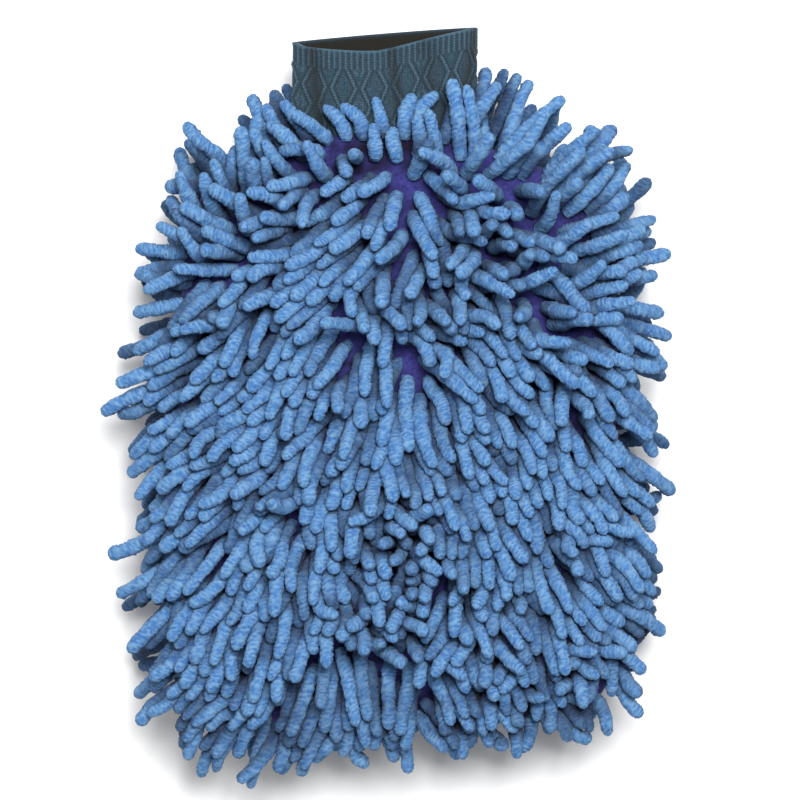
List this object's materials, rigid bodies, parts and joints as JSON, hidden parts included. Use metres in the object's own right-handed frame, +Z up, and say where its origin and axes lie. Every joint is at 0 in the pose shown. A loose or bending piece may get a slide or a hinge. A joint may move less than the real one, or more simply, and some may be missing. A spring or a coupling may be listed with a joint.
{
  "type": "chenille wash mitt",
  "caption": "Puffed cloth wash mitt covered in soft chenille noodles on both sides, with a loose lining and a knitted wrist cuff.",
  "frame": {"origin": "under the middle of the mitt, on the surface that it lies on", "axes": "+Z up out of the front pile, +Y from the finger end to the cuff, +X to the mitt's right seen from above"},
  "size_m": [0.2058, 0.279, 0.0771],
  "materials": {
    "chenille": "matte fuzzy microfibre chenille",
    "base_cloth": "knitted backing cloth",
    "lining": "smooth woven lining",
    "knit": "matte double knit",
    "thread": "spun polyester thread",
    "elastic": "covered elastic"
  },
  "bodies": {
    "mitt": {"front_cloth": "base_cloth", "back_cloth": "base_cloth", "front_lining": "lining", "back_lining": "lining", "side_seam": "base_cloth", "side_seam_stitches": "thread", "cuff_seam": "base_cloth", "cuff_seam_stitches": "thread", "front_pile_01": "chenille", "front_pile_02": "chenille", "front_pile_03": "chenille", "front_pile_04": "chenille", "front_pile_05": "chenille", "front_pile_06": "chenille", "front_pile_07": "chenille", "front_pile_08": "chenille", "front_pile_09": "chenille", "front_pile_10": "chenille", "front_pile_11": "chenille", "front_pile_12": "chenille", "front_pile_13": "chenille", "front_pile_14": "chenille", "front_pile_15": "chenille", "front_pile_16": "chenille", "back_pile_01": "chenille", "back_pile_02": "chenille", "back_pile_03": "chenille", "back_pile_04": "chenille", "back_pile_05": "chenille", "back_pile_06": "chenille", "back_pile_07": "chenille", "back_pile_08": "chenille", "back_pile_09": "chenille", "back_pile_10": "chenille", "back_pile_11": "chenille", "back_pile_12": "chenille", "back_pile_13": "chenille", "back_pile_14": "chenille", "back_pile_15": "chenille", "back_pile_16": "chenille"},
    "cuff": {"cuff_knit": "knit", "cuff_band": "knit", "cuff_elastic": "elastic", "cuff_side_seam": "knit"}
  },
  "joints": [
    {"name": "cuff_tilt", "type": "hinge", "parent": "mitt", "child": "cuff", "pos_m": [-0.005, 0.09652, 0.03466], "axis": [1, 0, 0], "range_deg": [-20, 20], "stiffness_Nm_per_rad": 0.08}
  ]
}
